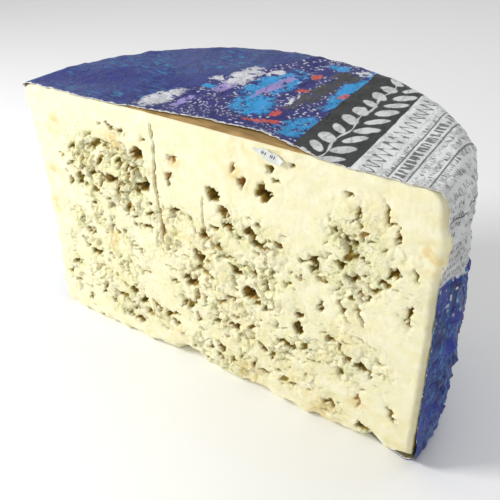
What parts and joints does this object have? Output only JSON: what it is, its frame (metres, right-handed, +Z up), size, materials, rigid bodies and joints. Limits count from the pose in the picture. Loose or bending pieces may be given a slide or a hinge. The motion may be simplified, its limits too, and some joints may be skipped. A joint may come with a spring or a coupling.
{
  "type": "half wheel of blue cheese",
  "caption": "Half wheel of blue-veined cheese on its base, cut face open, with printed foil on its top, curved side and base.",
  "frame": {"origin": "middle of the bounding box, at the height of the base the half wheel stands on", "axes": "+X along the cut face from left to right, +Y from the cut face into the wheel, +Z up; the cut face looks along -Y"},
  "size_m": [0.1886, 0.0932, 0.1174],
  "materials": {
    "paste": "moist, crumbly ivory cheese paste with olive-brown pockets and grey-green mould",
    "printed_foil": "thin wrinkled foil, printed on the outside in blues, black and off-white, satin"
  },
  "bodies": {
    "root": {"cheese_half": "paste", "foil_wrapper": "printed_foil", "foil_scrap": "printed_foil"}
  },
  "joints": []
}
